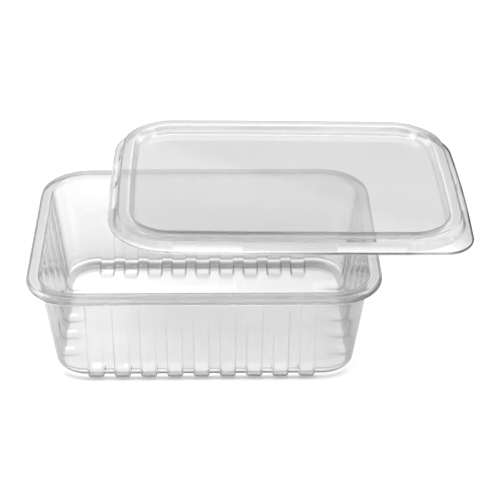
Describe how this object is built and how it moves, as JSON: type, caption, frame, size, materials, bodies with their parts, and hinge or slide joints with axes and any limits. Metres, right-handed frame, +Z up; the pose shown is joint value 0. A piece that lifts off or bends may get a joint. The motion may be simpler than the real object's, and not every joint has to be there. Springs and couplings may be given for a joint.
{
  "type": "takeaway meal container with lid",
  "caption": "Clear rectangular meal tray with ribbed walls, small feet and an outward rim, with its loose clear lid, which has a recessed panel, lying askew on top.",
  "frame": {"origin": "centre of the box round the tray and its lid, on the plane that the tray's feet stand on", "axes": "+Z up; +X along the tray's long sides, towards the lid's overhang; +Y from the front long side to the back one"},
  "size_m": [0.241, 0.1922, 0.0704],
  "materials": {
    "tray_sheet": "clear, glossy, thermoformed",
    "lid_sheet": "clear, glossy, thermoformed"
  },
  "bodies": {
    "root": {"tray": "tray_sheet", "lid": "lid_sheet"}
  },
  "joints": []
}
